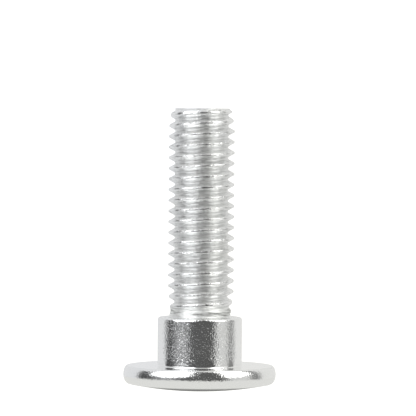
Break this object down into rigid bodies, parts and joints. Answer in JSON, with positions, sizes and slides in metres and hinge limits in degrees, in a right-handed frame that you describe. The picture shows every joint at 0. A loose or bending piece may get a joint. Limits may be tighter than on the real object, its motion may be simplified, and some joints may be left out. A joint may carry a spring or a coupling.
{
  "type": "disc bolt",
  "caption": "Bright plated steel bolt with a wide crowned disc head, a plain cylindrical collar and a right-hand M8 thread; the collar locates or carries a part and the thread clamps it.",
  "frame": {"origin": "middle of the small flat on the crowned outer face of the head, which the bolt stands on", "axes": "+Z along the bolt's axis, from the head towards the end of the thread; X and Y are any two directions across it"},
  "size_m": [0.0178, 0.0178, 0.033],
  "materials": {
    "zinc_plated_steel": "bright zinc plate over cold headed and rolled steel"
  },
  "bodies": {
    "root": {"bolt": "zinc_plated_steel"}
  },
  "joints": []
}
